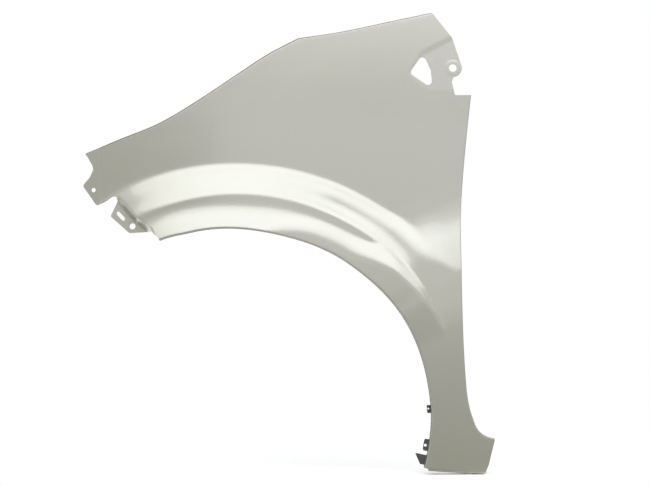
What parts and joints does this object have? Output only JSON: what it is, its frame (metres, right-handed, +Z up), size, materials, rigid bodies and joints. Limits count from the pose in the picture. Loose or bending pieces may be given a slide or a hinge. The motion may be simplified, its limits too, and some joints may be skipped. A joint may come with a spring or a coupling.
{
  "type": "car front fender",
  "caption": "Left front fender of a small car: one pressed sheet with a stepped wheel arch, a turned arch lip, bolt flanges and tabs for lamp, bumper and liner.",
  "frame": {"origin": "on the underside of the bonnet side flange, where the fender rests on the inner wing rail, above the rear half of the wheel arch", "axes": "+X towards the rear of the car, +Y inboard, away from the visible side, +Z up"},
  "size_m": [0.7369, 0.1601, 0.8235],
  "materials": {
    "silver_paint": "glossy metallic silver with a warm cast"
  },
  "bodies": {
    "root": {"fender_panel": "silver_paint"}
  },
  "joints": []
}
